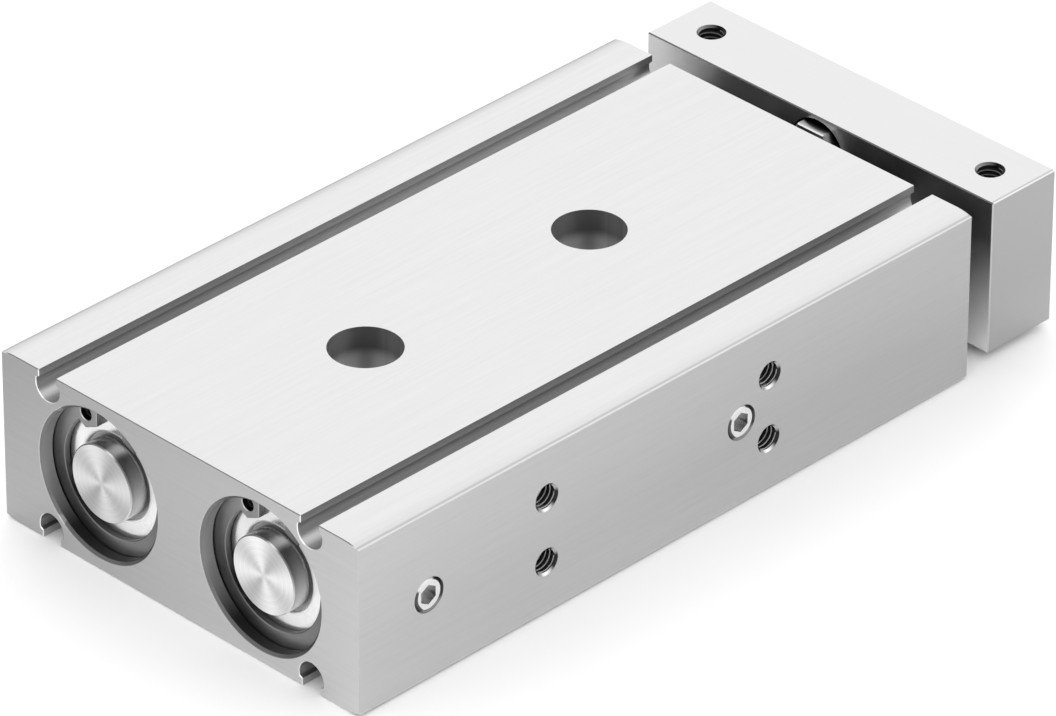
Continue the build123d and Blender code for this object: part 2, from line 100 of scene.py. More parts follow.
@dataclass(frozen=True)
class Value:
    """One number at each point of a surface, for use in sums."""

    sheet: Sheet
    socket: bpy.types.NodeSocket

    def __add__(self, other: Term) -> Value:
        """Sum."""
        return self.sheet.maths("ADD", self, other)

    def __radd__(self, other: Term) -> Value:
        """Sum, reflected."""
        return self.sheet.maths("ADD", other, self)

    def __sub__(self, other: Term) -> Value:
        """Difference."""
        return self.sheet.maths("SUBTRACT", self, other)

    def __rsub__(self, other: Term) -> Value:
        """Difference, reflected."""
        return self.sheet.maths("SUBTRACT", other, self)

    def __mul__(self, other: Term) -> Value:
        """Product."""
        return self.sheet.maths("MULTIPLY", self, other)

    def __rmul__(self, other: Term) -> Value:
        """Product, reflected."""
        return self.sheet.maths("MULTIPLY", other, self)

    def __pow__(self, other: Term) -> Value:
        """Power."""
        return self.sheet.maths("POWER", self, other)

    def __abs__(self) -> Value:
        """Size without its sign."""
        return self.sheet.maths("ABSOLUTE", self)


Term = Value | float


@dataclass
class Sheet:
    """A node tree on which a finish is drawn up."""

    tree: bpy.types.NodeTree

    def add(
        self,
        kind: str,
        settings: dict[str, object] | None = None,
        inputs: Sockets | None = None,
        output: str | int = 0,
    ) -> Value:
        """Add any node.

        Args:
            kind: Blender's name of the node type.
            settings: Properties of the node, set before its sockets.
            inputs: Values or links of its input sockets, by name or number.
            output: The output socket to hand back, by name or number.

        Returns:
            The chosen output.
        """
        node = self.tree.nodes.new(kind)
        for name, setting in (settings or {}).items():
            setattr(node, name, setting)
        for name, term in (inputs or {}).items():
            if isinstance(term, Value):
                self.tree.links.new(term.socket, node.inputs[name])
            else:
                node.inputs[name].default_value = term
        return Value(self, node.outputs[output])

    def maths(self, operation: str, *terms: Term) -> Value:
        """Result of a Math node with this operation and these values, in order."""
        return self.add("ShaderNodeMath", {"operation": operation}, dict(enumerate(terms)))

    def fade(self, value: Term, low: float, high: float) -> Value:
        """Smooth step from 0 at low to 1 at high, which may be below low."""
        inputs = {"Value": value, "From Min": low, "From Max": high}
        return self.add("ShaderNodeMapRange", {"interpolation_type": "SMOOTHSTEP"}, inputs)

    def blend(self, mask: Term, first: Term, second: Term) -> Value:
        """Mix of two numbers, the second where the mask is 1."""
        return self.add("ShaderNodeMix", {"data_type": "FLOAT"}, {0: mask, 2: first, 3: second})

    def place(self) -> tuple[Value, Value, Value]:
        """Place on the object in millimetres.

        Returns:
            The x, y and z of the point.
        """
        spot = self.add("ShaderNodeTexCoord", output="Object")
        inputs = {0: spot, "Scale": 1.0 / MM}
        scaled = self.add("ShaderNodeVectorMath", {"operation": "SCALE"}, inputs)
        return self.split(scaled)

    def facing(self) -> tuple[Value, Value, Value]:
        """The x, y and z of the surface's normal, on the object's own axes."""
        return self.split(self.add("ShaderNodeTexCoord", output="Normal"))

    def split(self, vector: Value) -> tuple[Value, Value, Value]:
        """The three parts of a vector.

        Args:
            vector: The vector.

        Returns:
            Its x, y and z.
        """
        node = self.tree.nodes.new("ShaderNodeSeparateXYZ")
        self.tree.links.new(vector.socket, node.inputs[0])
        parts = [Value(self, socket) for socket in node.outputs]
        return parts[0], parts[1], parts[2]

    def highest(self, *masks: Value) -> Value:
        """Highest of several masks."""
        return reduce(lambda first, second: self.maths("MAXIMUM", first, second), masks)

    def length(self, across: Value, up: Value) -> Value:
        """Distance of a point that lies so far across and so far up."""
        return (across * across + up * up) ** 0.5

    def lift(self, tone: Pair, mask: Value) -> Value:
        """A tone, given as its lowest value and what the mask adds to it."""
        return tone[0] + tone[1] * mask

    def lean(self, direction: Point) -> Value:
        """How far the surface faces a direction, from -1 to 1."""
        x, y, z = (part * share for part, share in zip(self.facing(), direction))
        return x + y + z

    def noise(self, x: Term, y: Term, z: Term, detail: float = 2.0) -> Value:
        """Cloudy noise from -1 to 1, about one cloud to each unit of its coordinates.

        Args:
            x: First coordinate.
            y: Second coordinate.
            z: Third coordinate.
            detail: How many finer layers it has.

        Returns:
            The noise.
        """
        spot = self.add("ShaderNodeCombineXYZ", inputs={0: x, 1: y, 2: z})
        inputs = {"Vector": spot, "Scale": 1.0, "Detail": detail}
        return 2.0 * self.add("ShaderNodeTexNoise", inputs=inputs) - 1.0

    def tint(self, colour: Colour, amount: Term) -> Value:
        """A colour, made lighter or darker by an amount that multiplies it."""
        inputs = {0: (*colour,), "Scale": amount}
        return self.add("ShaderNodeVectorMath", {"operation": "SCALE"}, inputs)

    def bump(self, height: Value, depth: float) -> Value:
        """A normal bent by heights from 0 to 1, over a depth in millimetres."""
        inputs = {"Height": height, "Distance": depth * MM, "Strength": 1.0}
        return self.add("ShaderNodeBump", inputs=inputs)

    def lead_to(self, kind: str, shader: Value) -> None:
        """Lead a shader to a new output node of this type."""
        node = self.tree.nodes.new(kind)
        self.tree.links.new(shader.socket, node.inputs[0])


@dataclass(frozen=True)
class Finish:
    """Colour and gloss of one kind of surface."""

    title: str
    colour: Colour
    metallic: float
    roughness: float

    def material(self) -> bpy.types.Material:
        """Make the material.

        Returns:
            The finished material.
        """
        material = bpy.data.materials.new(self.title)
        material.use_nodes = True
        material.node_tree.nodes.clear()
        sheet = Sheet(material.node_tree)
        inputs: Sockets = {
            "Base Color": (*self.colour, 1.0),
            "Metallic": self.metallic,
            "Roughness": self.roughness,
        }
        inputs.update(self.pattern(sheet))
        surface = sheet.add("ShaderNodeBsdfPrincipled", inputs=inputs)
        sheet.lead_to("ShaderNodeOutputMaterial", surface)
        return material

    def pattern(self, sheet: Sheet) -> Sockets:
        """What changes over the surface, by shader socket."""
        return {}


@dataclass(frozen=True)
class DrawnAluminium(Finish):
    """Extruded aluminium, brushed along its length, with machined recesses."""

    streak: float = 0.065
    height: float = 2.0 * AXIS_HEIGHT
    half_width: float = 32.0
    half_length: float = 55.0
    slot_middle: float = 23.5
    slot_level: Pair = (7.6, 7.9)
    bore_middle: float = BORE_OFFSET
    rim_radius: float = 11.0
    hole_rows: Pair = HOLE_ROWS
    pocket_radius: float = 5.0
    fine_grain: Pair = (0.14, 7.5)
    broad_grain: Pair = (0.05, 1.6)
    turned_grain: Pair = (0.2, 3.0)
    square_on: Pair = (0.95, 0.97)
    light_angle: float = 0.4
    # Painted light and shade, as the lowest tone and what the lit side adds: bore walls, rim
    # chamfers, rim lines and port walls.
    painted_wall_light: Pair = (0.02, 0.9)
    painted_rim_light: Pair = (0.14, 0.26)
    painted_line_light: Pair = (0.5, 0.9)
    painted_port_light: Pair = (0.3, 0.65)

    def pattern(self, sheet: Sheet) -> Sockets:
        """Long streaks outside and in the slots, cross streaks on the ends, smooth recesses,
        painted shade.

        Args:
            sheet: The sheet of the finish.

        Returns:
            What it sets, by shader socket.
        """
        x, y, z = sheet.place()
        facing_x, _, facing_z = (abs(part) for part in sheet.facing())
        end = sheet.fade(abs(x), self.half_length - 0.5, self.half_length - 0.3)
        end = sheet.fade(facing_x, 0.6, 0.8) * end
        level = abs(z - self.height / 2)
        flat = sheet.fade(level, self.height / 2 - 0.7, self.height / 2 - 0.55)
        flat = flat * sheet.fade(facing_z, 0.5, 0.8)
        flank = sheet.fade(abs(y), self.half_width - 0.3, self.half_width - 0.1)
        skin = sheet.highest(flat, flank, end)
        slot = sheet.fade(abs(abs(y) - self.slot_middle), 2.4, 2.2)
        slot = slot * sheet.fade(level, *self.slot_level) * (1.0 - skin)
        radius = self.from_bore(sheet)
        slot = slot * sheet.fade(radius, self.rim_radius + 0.2, self.rim_radius + 0.3)
        drawn = sheet.highest(skin, slot)
        along = sheet.blend(end, x, y)
        across = sheet.blend(end, y, x)
        long, short = self.fine_grain
        fine = sheet.noise(along * long, across * short, z * short)
        long, short = self.broad_grain
        broad = sheet.noise(along * long + 7.0, across * short, z * short)
        long, short = self.turned_grain
        turned = sheet.noise(x * short, y * long, z * short)
        streaks = self.streak * fine + 0.7 * self.streak * broad
        marks = sheet.blend(drawn, 0.02 * turned, streaks)
        recess_gloss = self.roughness - 0.08 + 0.14 * slot
        relief = sheet.blend(drawn, 0.5, 0.5 + 0.5 * fine)
        return {
            # The colour is multiplied by the painted light and shade from shade().
            "Base Color": sheet.tint(self.colour, (1.0 + marks) * self.shade(sheet, skin, slot)),
            "Metallic": 1.0 - 0.55 * (1.0 - drawn),
            "Roughness": sheet.blend(skin, recess_gloss, self.roughness + 0.05 * fine),
            "Normal": sheet.bump(relief, 0.0012),
        }

    def from_bore(self, sheet: Sheet) -> Value:
        """Distance from the nearer bore's axis."""
        _, y, z = sheet.place()
        return sheet.length(abs(y) - self.bore_middle, z - self.height / 2)

    def shade(self, sheet: Sheet, skin: Value, slot: Value) -> Value:
        """Painted light and shade on the bores, recesses, end faces, flanks and edges, against the
        skin.

        Args:
            sheet: The sheet of the finish.
            skin: Mask of the outside.
            slot: Mask of the sensor slots.

        Returns:
            What the colour is multiplied by.
        """
        x, y, z = sheet.place()
        facing_x, facing_y, facing_z = sheet.facing()
        out = abs(facing_x)
        rise = z - self.height / 2
        near_end = sheet.fade(abs(x), self.half_length - 0.55, self.half_length - 0.45)
        bevel = sheet.fade(out, 0.3, 0.5) * sheet.fade(out, 0.95, 0.85) * near_end
        radius = self.from_bore(sheet)
        row = sheet.maths("MINIMUM", *(abs(x - place) for place in self.hole_rows))
        in_pocket = sheet.fade(sheet.length(row, y), self.pocket_radius + 0.1, self.pocket_radius)
        in_bore = sheet.fade(radius, self.rim_radius + 0.3, self.rim_radius + 0.2)
        in_bore = in_bore * (1.0 - in_pocket)
        # Painted shade in the bores, lighter towards light_angle, with painted highlights on the
        # rim chamfer and rim line.
        line = sheet.fade(radius, self.rim_radius - 0.2, self.rim_radius - 0.12)
        wall = in_bore * (1.0 - skin) * (1.0 - bevel)
        angle = sheet.maths("ARCTAN2", rise, y - sheet.maths("SIGN", y) * self.bore_middle)
        lit = sheet.fade(sheet.maths("COSINE", angle - self.light_angle), 0.1, 1.0)
        rim = sheet.blend(line, sheet.lift(self.painted_rim_light, lit), sheet.lift(self.painted_line_light, lit))
        bore = sheet.blend(wall, 1.0, sheet.lift(self.painted_wall_light, lit))
        bore = sheet.blend(bevel * in_bore, bore, rim)
        # Painted light and shade: rear face lighter to the right and low down, front face darker
        # in its middle, flanks darker towards the front and lighter low down.
        end = sheet.fade(out, *self.square_on)
        rear = 0.94 - y * 0.0066 - rise * 0.01
        rear = sheet.blend(end * sheet.fade(x, 1.0, -1.0), 1.0, rear)
        outer = sheet.fade(abs(y), 22.0, self.half_width)
        front = 1.0 + (0.7 * outer - 0.2) * end * sheet.fade(x, -1.0, 1.0)
        flank = sheet.fade(abs(facing_y), *self.square_on)
        low = sheet.fade(rise, -2.0, -self.height / 2)
        side = sheet.blend(flank, 1.0, 0.955 - x * 0.0018 + 0.1 * low)
        # Painted highlight on the long top edges, and painted shade on the rail just inside them.
        corner = sheet.fade(abs(y), self.half_width - 0.2, self.half_width - 0.14)
        corner = corner * sheet.fade(abs(rise), 11.95, 12.0)
        dip = sheet.fade(abs(y), self.half_width - 0.6, self.half_width - 0.4) * (1.0 - corner)
        dip = dip * sheet.fade(abs(rise), 11.97, 12.05)
        shoulder = (1.0 - 0.24 * dip) * (1.0 + corner * (0.1 + 0.25 * flank))
        # Painted shade on the top edge of the end faces, and a painted highlight on the slot edges
        # of the rear face.
        top_edge = bevel * sheet.fade(facing_z, 0.3, 0.5) * sheet.fade(rise, 12.2, 12.35)
        slot_edge = bevel * sheet.fade(abs(abs(y) - self.slot_middle), 2.5, 2.35)
        slot_edge = slot_edge * sheet.fade(abs(rise), *self.slot_level)
        slot_edge = slot_edge * sheet.fade(x, -50.0, -50.5) * sheet.fade(facing_y, -0.2, -0.4)
        edges = (1.0 - 0.75 * top_edge) * (1.0 + 0.9 * slot_edge)
        # Painted light and shade in the counterbored pockets: dark near their mouths, lighter
        # deeper down.
        aside = sheet.maths("MINIMUM", *(abs(x - place - y) for place in self.hole_rows))
        deep = sheet.fade(z, self.height - 2.8, self.height - 4.8)
        painted_pocket_light = deep * (0.5 + 0.4 * sheet.fade(aside, 0.2, 2.2))
        painted_pocket_light = 0.2 + 0.2 * sheet.fade(aside, 1.5, 5.0) + painted_pocket_light
        # Painted shade in the tapped holes and ports, with painted light on the upward-facing port
        # walls.
        tapped = (1.0 - skin) * sheet.fade(abs(y), 26.0, 26.2) * sheet.fade(abs(rise), 7.3, 7.0)
        port = sheet.lift(self.painted_port_light, sheet.fade(facing_z, 0.4, 0.75))
        port = port * sheet.fade(abs(rise), 2.9, 2.7)
        recess = sheet.blend(in_pocket * (1.0 - skin), 1.0, painted_pocket_light) * (1.0 - (0.95 - port) * tapped)
        # Painted light in the slots: the left slots lighter towards the front, the right slots
        # darker.
        slot_light = 0.2 * sheet.fade(y, -1.0, 1.0) * sheet.fade(x, -40.0, 20.0) - 0.1
        recess = recess * (1.0 + slot * slot_light)
        return bore * rear * front * side * shoulder * edges * recess


@dataclass(frozen=True)
class SatinAluminium(Finish):
    """Milled and satined plate with a fine even grain."""

    middle_x: float = 66.1
    axis_z: float = AXIS_HEIGHT
    half_width: float = 31.0
    grain: float = 7.0
    milling: Pair = (0.12, 3.5)
    square_on: Pair = (0.9, 0.97)

    def pattern(self, sheet: Sheet) -> Sockets:
        """Fine grain, weak milling streaks across the plate, and painted light and shade.

        Args:
            sheet: The sheet of the finish.

        Returns:
            What it sets, by shader socket.
        """
        x, y, z = sheet.place()
        grain = sheet.noise(x * self.grain, y * self.grain, z * self.grain)
        long, short = self.milling
        streaks = sheet.noise(x * short, y * long, z * short)
        facing_x, facing_y, facing_z = sheet.facing()
        flank = sheet.fade(abs(facing_y), *self.square_on)
        top = sheet.fade(abs(facing_z), *self.square_on)
        rear = sheet.fade(facing_x, -0.9, -0.97)
        edge = 1.0 - sheet.highest(flank, top, sheet.fade(abs(facing_x), *self.square_on))
        # Painted shade on the rear top edge, a painted highlight on the right edges, and a painted
        # shade line along the top's right edge.
        painted_edge_shade = edge * sheet.fade(facing_x, -0.4, -0.6) * sheet.fade(facing_z, 0.4, 0.6)
        painted_edge_highlight = edge * sheet.fade(facing_y, -0.4, -0.6)
        painted_top_edge_shade = top * sheet.fade(y, 0.5 - self.half_width, 0.35 - self.half_width)
        edges = (1.0 - 0.8 * painted_edge_shade) * (1.0 + 0.1 * painted_edge_highlight) * (1.0 - 0.3 * painted_top_edge_shade)
        # Painted light and shade: the rear face darker high up and lighter low down on its right,
        # the flanks darker, less so low down.
        right = sheet.fade(y, 17.0 - self.half_width, 3.0 - self.half_width)
        low = sheet.fade(z, self.axis_z + 7.0, self.axis_z - 11.0) * right
        high = sheet.fade(z, self.axis_z + 2.0, self.axis_z + 10.0)
        back = 1.1 * (1.0 - 0.5 * high * right) + 0.5 * low + 0.22 * right
        below = sheet.fade(z, self.axis_z, self.axis_z - 12.0)
        faces = (1.0 - 0.22 * flank * (1.0 - 0.4 * below)) * (1.0 + 0.01 * top)
        faces = faces * sheet.blend(rear, 1.0, back)
        # Painted shade in the tapped holes.
        inside = sheet.fade(abs(x - self.middle_x), 5.8, 5.7)
        inside = inside * sheet.fade(abs(z - self.axis_z), 11.2, 11.1)
        tapped = inside * sheet.fade(abs(y), 22.6, 22.9) * sheet.fade(abs(y), 30.7, 30.6)
        tone = faces * edges * (1.0 - 0.9 * tapped)
        return {
            "Base Color": sheet.tint(self.colour, tone * (1.0 + 0.012 * grain + 0.02 * streaks)),
            "Metallic": 1.0 - 0.7 * rear * low,
            "Roughness": self.roughness + 0.03 * grain,
            "Normal": sheet.bump(0.5 + 0.5 * grain, 0.0008),
        }


@dataclass(frozen=True)
class TurnedMetal(Finish):
    """Metal turned about an axis along X, with rings on its faces."""

    axis_y: float = 0.0
    axis_z: float = AXIS_HEIGHT
    rings: float = 2.2
    face_facing: Pair = (0.75, 0.95)

    def polar(self, sheet: Sheet) -> tuple[Value, Value, Value]:
        """Place round the axis.

        Args:
            sheet: The sheet of the finish.

        Returns:
            Distance from the axis, angle round it from +Y to +Z, and position along it.
        """
        x, y, z = sheet.place()
        across = y - self.axis_y
        up = z - self.axis_z
        return sheet.length(across, up), sheet.maths("ARCTAN2", up, across), x

    def pattern(self, sheet: Sheet) -> Sockets:
        """Concentric rings on faces and hoops on walls.

        Args:
            sheet: The sheet of the finish.

        Returns:
            What it sets, by shader socket.
        """
        radius, _, x = self.polar(sheet)
        face = sheet.fade(abs(sheet.facing()[0]), *self.face_facing)
        hoops = sheet.blend(face, x * self.rings * 2.0, 0.0)
        grooves = sheet.noise(radius * self.rings, 0.0, hoops, 4.0)
        return {
            "Base Color": sheet.tint(self.colour, 1.0 + 0.06 * grooves),
            "Roughness": self.roughness + 0.05 * grooves,
            "Normal": sheet.bump(0.5 + 0.5 * grooves, 0.004),
        }


@dataclass(frozen=True)
class TurnedCap(TurnedMetal):
    """End cap: finely faced boss, polished collar, relief groove, painted sheen and shade."""

    groove_radius: float = 5.95
    shadow_radius: float = 8.5
    collar_x: float = -51.9
    ring_eye: Pair = RING_EYE
    sheen: float = 0.14
    boss_tone: float = 0.63
    # Painted shade: how much darker the left boss and lighter the right one are painted, per mm of
    # axis_y.
    painted_boss_shade_slope: float = 0.0085
    painted_band_angle: float = 1.88
    shade_angle: float = 0.3

    def pattern(self, sheet: Sheet) -> Sockets:
        """Rings and a painted cross sheen on the boss, painted wall bands, painted shade on the
        collar.

        Args:
            sheet: The sheet of the finish.

        Returns:
            What it sets, by shader socket.
        """
        radius, angle, x = self.polar(sheet)
        face = sheet.fade(abs(sheet.facing()[0]), *self.face_facing)
        front = sheet.fade(x, self.collar_x - 0.1, self.collar_x - 0.3)
        top = face * front
        side = (1.0 - face) * front
        fine = sheet.noise(radius * 5.5, 0.0, sheet.blend(face, x * 4.0, 0.0), 3.0)
        coarse = sheet.noise(radius * 1.3 + 3.0, 0.0, 0.0, 1.0)
        # Painted sheen: a crossed pattern of light and dark wedges on the boss face.
        cross = sheet.maths("COSINE", 4.0 * angle + 0.9)
        cross = cross + 0.4 * sheet.maths("COSINE", 2.0 * angle - 1.2)
        wedge = self.sheen * cross * sheet.fade(radius, 0.0, 1.2)
        boss = self.boss_tone + 0.17 * fine + 0.04 * coarse + wedge
        # Painted shade: the left boss is painted darker and the right one lighter.
        boss = boss * (1.0 - self.painted_boss_shade_slope * self.axis_y)
        # Painted reflections on the boss's side wall: dark, with a light band near the top and
        # lighter towards the right.
        turn = sheet.maths("MODULO", angle + FULL_TURN, FULL_TURN)
        band = sheet.fade(abs(turn - self.painted_band_angle), 0.26, 0.02)
        painted_side_light = 0.1 + 0.45 * band + 0.75 * sheet.fade(turn, 2.3, 3.9)
        groove = sheet.fade(radius, self.groove_radius + 0.1, self.groove_radius - 0.15)
        groove = groove * sheet.fade(x, self.collar_x - 0.02, self.collar_x + 0.15)
        lip = sheet.fade(radius, self.groove_radius + 0.5, self.groove_radius + 0.35)
        lip = lip * (1.0 - front)
        lip = lip * sheet.fade(radius, self.groove_radius - 0.1, self.groove_radius)
        under = sheet.fade(radius, self.shadow_radius - 0.9, self.shadow_radius)
        shaded = sheet.maths("COSINE", angle + self.shade_angle)
        bright = (1.0 - front) * sheet.fade(shaded, -0.3, -0.8)
        bright = bright * sheet.fade(radius, self.groove_radius, self.groove_radius + 0.65)
        # Painted shade on the collar: in the foot groove, behind the ring's eyes, under the ring
        # and on its left side, and towards the top.
        collar = (1.0 - 0.7 * groove) * (1.0 - 0.8 * self.eye_shadow(sheet)) * (1.0 + 0.05 * fine)
        collar = collar * (1.0 - under * (0.4 + 0.4 * shaded)) * (0.92 - 0.08 * shaded)
        collar = collar * (1.0 - 0.2 * sheet.fade(sheet.maths("SINE", angle), 0.3, 0.9))
        tone = sheet.blend(top, sheet.blend(side, collar, painted_side_light), boss)
        return {
            "Base Color": sheet.tint(self.colour, tone),
            "Metallic": 1.0 - 0.7 * sheet.highest(lip, side, bright),
            "Roughness": self.roughness + 0.04 * fine + 0.1 * top + 0.1 * groove,
            "Normal": sheet.bump(0.5 + 0.5 * fine, 0.003),
        }

    def eye_shadow(self, sheet: Sheet) -> Value:
        """Mask of the collar behind the eyes of the retaining ring.

        Args:
            sheet: The sheet of the finish.

        Returns:
            The mask.
        """
        x, y, z = sheet.place()
        across = abs(y - self.axis_y) - self.ring_eye[0]
        up = z - self.axis_z - self.ring_eye[1]
        near = sheet.fade(x, self.collar_x + 0.5, self.collar_x + 0.3)
        return near * sheet.fade(sheet.length(across, up), 1.05, 0.95)


@dataclass(frozen=True)
class SpringSteel(Finish):
    """Stamped spring steel with a painted broad sheen round its bore."""

    middle: float = BORE_OFFSET
    axis_z: float = AXIS_HEIGHT
    inner_radius: float = 8.4
    ring_eye: Pair = RING_EYE
    light_angle: float = 0.55
    # Painted light on the edges and the inner wall, as the lowest tone and what the lit side adds.
    painted_edge_light: Pair = (0.6, 1.2)
    painted_inner_light: Pair = (0.22, 1.1)

    def pattern(self, sheet: Sheet) -> Sockets:
        """Painted sheen round the ring, painted light on the sheared edges and bore, painted eye
        shade.

        Args:
            sheet: The sheet of the finish.

        Returns:
            What it sets, by shader socket.
        """
        x, y, z = sheet.place()
        across = y - sheet.maths("SIGN", y) * self.middle
        up = z - self.axis_z
        angle = sheet.maths("ARCTAN2", up, across)
        radius = sheet.length(across, up)
        out = abs(sheet.facing()[0])
        edge = sheet.fade(out, 0.3, 0.5) * sheet.fade(out, 0.95, 0.85)
        wall = sheet.fade(out, 0.5, 0.3)
        inner = wall * sheet.fade(radius, self.inner_radius + 0.3, self.inner_radius + 0.15)
        eye = sheet.length(abs(across) - self.ring_eye[0], up - self.ring_eye[1])
        painted_eye_shade = wall * sheet.fade(eye, 1.1, 1.02)
        clouds = sheet.noise(x * 1.2, y * 1.2, z * 1.2, 3.0)
        # Painted sheen, painted edge and inner-wall highlights towards light_angle, and painted
        # shade in the eyes.
        sheen = 1.0 + 0.4 * sheet.maths("COSINE", 2.0 * angle - 2.4)
        lean = sheet.maths("COSINE", angle - self.light_angle)
        painted_edge_light = sheet.lift(self.painted_edge_light, sheet.fade(lean, 0.3, 0.9))
        painted_inner_light = sheet.lift(self.painted_inner_light, sheet.fade(lean, 0.4, 0.9))
        tone = sheen * (1.0 + 0.08 * clouds) * (1.0 - 0.8 * painted_eye_shade)
        tone = tone * sheet.blend(edge, 1.0, painted_edge_light) * sheet.blend(inner, 1.0, painted_inner_light)
        return {
            "Base Color": sheet.tint(self.colour, tone),
            "Roughness": self.roughness + 0.05 * clouds,
            "Normal": sheet.bump(0.5 + 0.5 * clouds, 0.002),
        }


@dataclass(frozen=True)
class PlugMetal(Finish):
    """Bright turned plug with painted shade in its socket."""

    rows: Pair = PORT_ROWS
    face_y: float = -31.9
    axis_z: float = AXIS_HEIGHT
    crescent: float = 0.24
    crescent_angle: float = 3.3
    arc_angle: float = 3.7
    painted_arc_light: Pair = (0.08, 0.76)

    def pattern(self, sheet: Sheet) -> Sockets:
        """Turning rings, painted socket shade, a chamfer with painted highlight arcs and shade
        crescent.

        Args:
            sheet: The sheet of the finish.

        Returns:
            What it sets, by shader socket.
        """
        x, y, z = sheet.place()
        row = sheet.maths("MINIMUM", *(abs(x - place) for place in self.rows))
        up = z - self.axis_z
        radius = sheet.length(row, up)
        deep = sheet.fade(y, self.face_y + 0.03, self.face_y + 0.12)
        # Painted shade in the socket.
        socket = deep * sheet.fade(radius, 1.75, 1.6)
        rings = sheet.noise(radius * 4.0, 0.0, 0.0, 2.0)
        middle = sum(self.rows) / 2
        in_front = sheet.fade(x, middle - 1.0, middle + 1.0)
        angle = sheet.maths("ARCTAN2", up, x - sheet.blend(in_front, *self.rows))
        # Painted reflections on the chamfer: two bright arcs, and a crescent of painted shade on
        # one side.
        arcs = sheet.fade(sheet.maths("COSINE", 2.0 * angle - self.arc_angle), -0.05, 0.35)
        lean = sheet.maths("COSINE", angle - self.crescent_angle)
        crescent = self.crescent * sheet.fade(lean, 0.45, 0.95)
        rim = sheet.fade(radius + crescent, 2.0, 2.08)
        chamfer = sheet.highest(deep * sheet.fade(radius, 1.95, 2.1), rim)
        painted_chamfer_light = sheet.blend(chamfer, 1.0, sheet.lift(self.painted_arc_light, arcs))
        tone = (1.0 + 0.06 * rings) * (1.0 - 0.15 * socket) * painted_chamfer_light
        return {
            "Base Color": sheet.tint(self.colour, tone),
            "Metallic": 1.0 - 0.6 * chamfer,
            "Roughness": self.roughness + 0.05 * rings,
            "Normal": sheet.bump(0.5 + 0.5 * rings, 0.002),
        }


@dataclass(frozen=True)
class NutMetal(Finish):
    """Plated nut, with painted shade where it sits deep in its pocket."""

    rear_x: float = 58.7
    painted_pocket_shade: float = 0.85
    file_marks: Pair = (1.0, 5.0)

    def pattern(self, sheet: Sheet) -> Sockets:
        """Bright behind, painted shade that deepens into the pocket, and fine file marks.

        Args:
            sheet: The sheet of the finish.

        Returns:
            What it sets, by shader socket.
        """
        x, y, z = sheet.place()
        long, short = self.file_marks
        marks = sheet.noise(x * long, y * short, z * short, 3.0)
        depth = sheet.fade(x, self.rear_x + 0.15, self.rear_x + 1.8)
        # Painted shade, darker deeper in the pocket.
        tone = (1.0 - self.painted_pocket_shade * depth) * (1.0 + 0.05 * marks)
        return {
            "Base Color": sheet.tint(self.colour, tone),
            "Roughness": self.roughness + 0.05 * marks,
            "Normal": sheet.bump(0.5 + 0.5 * marks, 0.002),
        }


@dataclass(frozen=True)
class HardMetal(Finish):
    """Steel or chrome with a fine speckle."""

    speckle: float = 0.04
    grain: float = 4.0
    hoops: bool = False
    hoop_share: float = 0.05

    def pattern(self, sheet: Sheet) -> Sockets:
        """Fine speckle, drawn out into hoops round X on ground rods.

        Args:
            sheet: The sheet of the finish.

        Returns:
            What it sets, by shader socket.
        """
        x, y, z = sheet.place()
        across = self.grain * (self.hoop_share if self.hoops else 1.0)
        spots = sheet.noise(x * self.grain, y * across, z * across, 3.0)
        return {
            "Base Color": sheet.tint(self.colour, 1.0 + self.speckle * spots),
            "Roughness": self.roughness + self.speckle * spots,
            "Normal": sheet.bump(0.5 + 0.5 * spots, 0.0006),
        }


@dataclass(frozen=True)
class CutThread(Finish):
    """Fresh-cut thread with painted crest light, painted root shade and a painted glint on its
    mouth.
    """

    # Painted shade: the tone at the roots, and how bright the mouth is painted.
    root: float = 0.01
    mouth: float = 1.0
    glint: Point = (0.1, 0.0, 0.98)
    faint_glint: Point = (0.0, 0.0, 0.0)
    glint_tone: Pair = (0.03, 0.97)
    faint_tone: float = 0.6

    def pattern(self, sheet: Sheet) -> Sockets:
        """Painted light on crests over painted shade in roots, and a mouth with painted glints.

        Args:
            sheet: The sheet of the finish.

        Returns:
            What it sets, by shader socket.
        """
        x, y, z = sheet.place()
        mark = sheet.add("ShaderNodeAttribute", {"attribute_name": HEIGHT}, output="Fac")
        # Painted light and shade: crests bright, roots painted dark, and painted glints on the
        # mouth.
        crest = sheet.fade(mark, 0.6, 0.85)
        cone = sheet.fade(mark, MOUTH - 0.6, MOUTH - 0.4)
        glint = sheet.fade(sheet.lean(self.glint), 0.35, 0.8)
        faint = sheet.fade(sheet.lean(self.faint_glint), 0.52, 0.66)
        cone_tone = self.mouth * (sheet.lift(self.glint_tone, glint) + self.faint_tone * faint)
        lines = sheet.noise(x * 6.0, y * 6.0, z * 6.0)
        tone = sheet.blend(cone, self.root + (1.0 - self.root) * crest, cone_tone)
        tone = tone * (1.0 + 0.1 * lines)
        return {
            "Base Color": sheet.tint(self.colour, tone),
            "Metallic": 0.3 + 0.7 * cone,
            "Roughness": self.roughness + 0.04 * lines,
            "Normal": sheet.bump(0.5 + 0.5 * lines, 0.002),
        }


@dataclass(frozen=True)
class Rubber(Finish):
    """Moulded rubber with a matt bloom."""

    cloud_grain: float = 0.6
    pit_grain: float = 9.0

    def pattern(self, sheet: Sheet) -> Sockets:
        """Soft cloudy bloom and a fine pitted skin.

        Args:
            sheet: The sheet of the finish.

        Returns:
            What it sets, by shader socket.
        """
        spot = sheet.place()
        bloom = sheet.noise(*(part * self.cloud_grain for part in spot), 3.0)
        pits = sheet.noise(*(part * self.pit_grain for part in spot))
        return {
            "Base Color": sheet.tint(self.colour, 1.0 + 0.25 * bloom),
            "Roughness": self.roughness + 0.08 * bloom,
            "Normal": sheet.bump(0.5 + 0.5 * pits, 0.004),
        }


